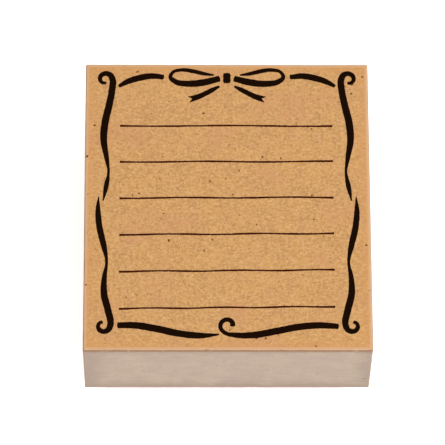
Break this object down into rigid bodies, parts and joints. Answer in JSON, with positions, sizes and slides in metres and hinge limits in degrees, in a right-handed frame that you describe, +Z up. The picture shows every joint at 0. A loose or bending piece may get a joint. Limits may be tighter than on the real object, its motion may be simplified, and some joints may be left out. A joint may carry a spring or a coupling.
{
  "type": "rubber stamp",
  "caption": "Wood-mounted rubber stamp: a fibreboard block with an inked ribbon-frame index on top, a foam cushion and a moulded rubber die underneath.",
  "frame": {"origin": "under the block's centre, on the printing face of the die, which is what the stamp stands on", "axes": "+Z up through the cushion and the block to the index print, +Y towards the top of the printed design, where the bow is, +X to the right of the index print as it is read"},
  "size_m": [0.05, 0.0544, 0.0234],
  "materials": {
    "fibreboard": "sanded medium-density fibreboard, matt, fine mottled fibre",
    "index_ink": "dried black ink on bare board, matt to silky",
    "foam": "closed-cell foam sheet, off-white, matt, fine cells on the cut edge",
    "adhesive": "double-sided acrylic film, pale amber",
    "die_rubber": "moulded red rubber, matt with a soft sheen"
  },
  "bodies": {
    "die": {"rubber_die": "die_rubber", "die_adhesive": "adhesive", "foam_cushion": "foam"},
    "mount": {"mount_block": "fibreboard", "block_adhesive": "adhesive", "index_bow_left_loop": "index_ink", "index_bow_right_loop": "index_ink", "index_bow_knot": "index_ink", "index_bow_left_tail": "index_ink", "index_bow_right_tail": "index_ink", "index_ribbon_top_left": "index_ink", "index_ribbon_top_right": "index_ink", "index_ribbon_left_upper": "index_ink", "index_ribbon_left_lower": "index_ink", "index_ribbon_right_upper": "index_ink", "index_ribbon_right_lower": "index_ink", "index_ribbon_bottom_left": "index_ink", "index_ribbon_bottom_right": "index_ink", "index_line_1": "index_ink", "index_line_2": "index_ink", "index_line_3": "index_ink", "index_line_4": "index_ink", "index_line_5": "index_ink", "index_line_6": "index_ink"}
  },
  "joints": [
    {"name": "cushion_press", "type": "slide", "parent": "die", "child": "mount", "axis": [0, 0, -1], "range_m": [0, 0.0008], "stiffness_N_per_m": 50000, "deforming": ["foam_cushion"]}
  ]
}
